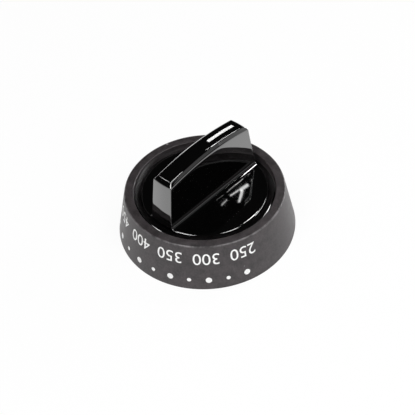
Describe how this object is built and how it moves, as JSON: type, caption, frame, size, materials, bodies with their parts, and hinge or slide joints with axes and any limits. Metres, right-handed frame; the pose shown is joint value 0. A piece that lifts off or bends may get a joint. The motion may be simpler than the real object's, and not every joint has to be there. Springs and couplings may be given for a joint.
{
  "type": "oven control knob",
  "caption": "Push-on oven thermostat knob: a gloss finger bar with a pointer on a round core, set in a flared matte skirt printed with temperatures, with a clipped D socket below.",
  "frame": {"origin": "on the shaft axis, in the plane of the skirt's base", "axes": "+Z along the shaft axis, out through the finger bar; +Y along the bar towards its pointer end"},
  "size_m": [0.0698, 0.0698, 0.0406],
  "materials": {
    "skirt_plastic": "fine matte moulded charcoal plastic",
    "core_plastic": "polished black moulded plastic",
    "clip_steel": "rolled spring steel",
    "print_white": "white pad print and pointer paint"
  },
  "bodies": {
    "root": {"dial_skirt": "skirt_plastic", "grip_knob": "core_plastic", "shaft_spring_clip": "clip_steel"}
  },
  "joints": []
}
